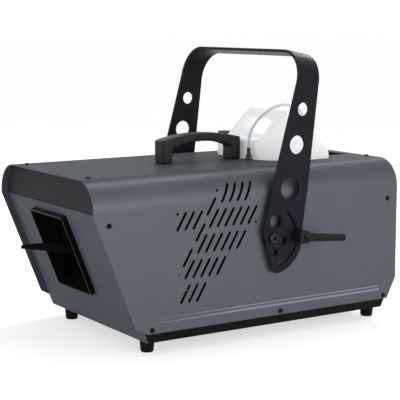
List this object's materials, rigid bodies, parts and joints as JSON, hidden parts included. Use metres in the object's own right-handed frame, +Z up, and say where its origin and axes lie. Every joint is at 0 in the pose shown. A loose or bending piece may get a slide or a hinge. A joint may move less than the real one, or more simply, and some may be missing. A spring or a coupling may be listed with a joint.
{
  "type": "snow machine",
  "caption": "Boxy stage effect blower with a slanted square mouth, top carry handle, lift-out fluid tank with feed tube, and a perforated hanging yoke with clamp levers.",
  "frame": {"origin": "on the floor under the feet, at the middle of the object's bounding box", "axes": "+Z up, -Y out of the blower mouth, +Y to the rear along the case, +X to the side that the picture shows"},
  "size_m": [0.3614, 0.5348, 0.3874],
  "materials": {
    "grey_paint": "satin metallic grey-blue paint",
    "dark_paint": "satin charcoal paint",
    "black_paint": "satin black powder coat",
    "yoke_black": "satin black powder coat",
    "black_plastic": "moulded black plastic",
    "rubber": "black rubber",
    "tank_white": "milky blow-moulded plastic",
    "tube_blue": "clear pale blue tube",
    "steel": "bright steel",
    "zinc": "zinc-plated steel",
    "board_green": "circuit board"
  },
  "bodies": {
    "case": {"outer_shell": "grey_paint", "front_panel": "grey_paint", "brow_panel": "dark_paint", "rear_panel": "dark_paint", "base_tray": "black_paint", "foot_front_left": "rubber", "foot_front_right": "rubber", "foot_rear_left": "rubber", "foot_rear_right": "rubber", "mouth_duct": "black_paint", "foam_screen": "steel", "arm_strap": "black_paint", "sock_arm": "black_paint", "spray_nozzle": "zinc", "blower_scroll": "black_plastic", "blower_motor": "steel", "blower_bracket": "zinc", "carry_handle": "black_plastic", "tank_well": "black_paint", "tube_gland": "black_plastic", "suction_tube": "tube_blue", "delivery_tube": "tube_blue", "fluid_pump": "steel", "power_supply": "steel", "control_board": "board_green", "pivot_bolt_left": "steel", "pivot_bolt_right": "steel", "pivot_spacer_left": "black_plastic", "pivot_spacer_right": "black_plastic", "backing_plate_left": "zinc", "backing_plate_right": "zinc", "clamp_stud_left": "steel", "clamp_stud_right": "steel", "clamp_spacer_left": "black_plastic", "clamp_spacer_right": "black_plastic", "power_inlet": "black_plastic", "power_switch": "black_plastic", "output_control": "zinc", "remote_socket": "zinc"},
    "yoke": {"yoke": "yoke_black"},
    "clamp_lever_left": {"clamp_lever_left": "black_plastic"},
    "clamp_lever_right": {"clamp_lever_right": "black_plastic"},
    "blower_wheel": {"blower_wheel": "black_plastic"},
    "switch_rocker": {"switch_rocker": "black_plastic"},
    "output_knob": {"output_knob": "black_plastic"},
    "tank": {"fluid_tank": "tank_white", "tank_head": "tank_white", "tank_shoulder": "tank_white", "tube_bung": "rubber", "feed_tube": "tube_blue"},
    "tank_cap": {"tank_cap": "black_plastic"}
  },
  "joints": [
    {"name": "yoke_tilt", "type": "hinge", "parent": "case", "child": "yoke", "pos_m": [0, 0.0319, 0.1388], "axis": [1, 0, 0], "range_deg": [-45.8, 68.2]},
    {"name": "clamp_left", "type": "hinge", "parent": "case", "child": "clamp_lever_left", "pos_m": [-0.152, 0.0699, 0.1388], "axis": [1, 0, 0], "range_deg": [-75, 75]},
    {"name": "clamp_right", "type": "hinge", "parent": "case", "child": "clamp_lever_right", "pos_m": [0.152, 0.0699, 0.1388], "axis": [1, 0, 0], "range_deg": [-75, 75]},
    {"name": "blower_spin", "type": "hinge", "parent": "case", "child": "blower_wheel", "pos_m": [-0.0149, -0.0546, 0.1311], "axis": [1, 0, 0], "continuous": true},
    {"name": "switch_tip", "type": "hinge", "parent": "case", "child": "switch_rocker", "pos_m": [0.095, 0.2534, 0.132], "axis": [1, 0, 0], "range_deg": [-16, 0]},
    {"name": "output_turn", "type": "hinge", "parent": "case", "child": "output_knob", "pos_m": [-0.095, 0.2603, 0.132], "axis": [0, 1, 0], "range_deg": [-135, 135]},
    {"name": "tank_lift", "type": "slide", "parent": "case", "child": "tank", "axis": [0, 0, 1], "range_m": [0, 0.05]},
    {"name": "cap_turn", "type": "hinge", "parent": "tank", "child": "tank_cap", "pos_m": [-0.0575, 0.0918, 0.2643], "axis": [0, 0, 1], "range_deg": [0, 270]}
  ]
}
